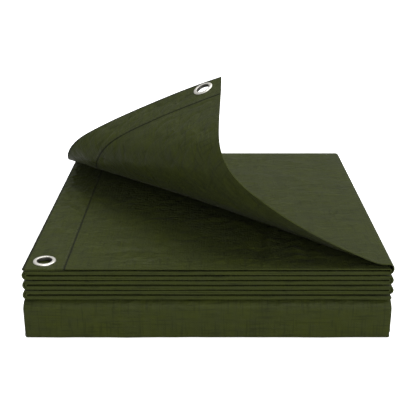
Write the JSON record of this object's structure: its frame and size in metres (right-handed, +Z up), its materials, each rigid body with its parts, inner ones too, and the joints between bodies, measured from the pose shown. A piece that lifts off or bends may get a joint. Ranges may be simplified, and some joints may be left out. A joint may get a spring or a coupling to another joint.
{
  "type": "folded canvas tarp",
  "caption": "Square stack of folded dark green canvas with its top front corner rolled back, showing the ply beneath, hems and metal eyelets.",
  "frame": {"origin": "on the surface it rests on, under the middle of the stack's box", "axes": "+Z up, +X to the right along the front edge, +Y from the front to the back; the rolled-back corner is the front left one"},
  "size_m": [0.3494, 0.3341, 0.2126],
  "materials": {
    "canvas": "dark olive green proofed canvas, plain weave, low sheen",
    "eyelet_metal": "pale satin pressed metal"
  },
  "bodies": {
    "root": {"folded_cloth": "canvas", "lifted_ply": "canvas", "lifted_hem": "canvas", "under_hem": "canvas", "lifted_eyelet": "eyelet_metal", "under_eyelet": "eyelet_metal"}
  },
  "joints": []
}
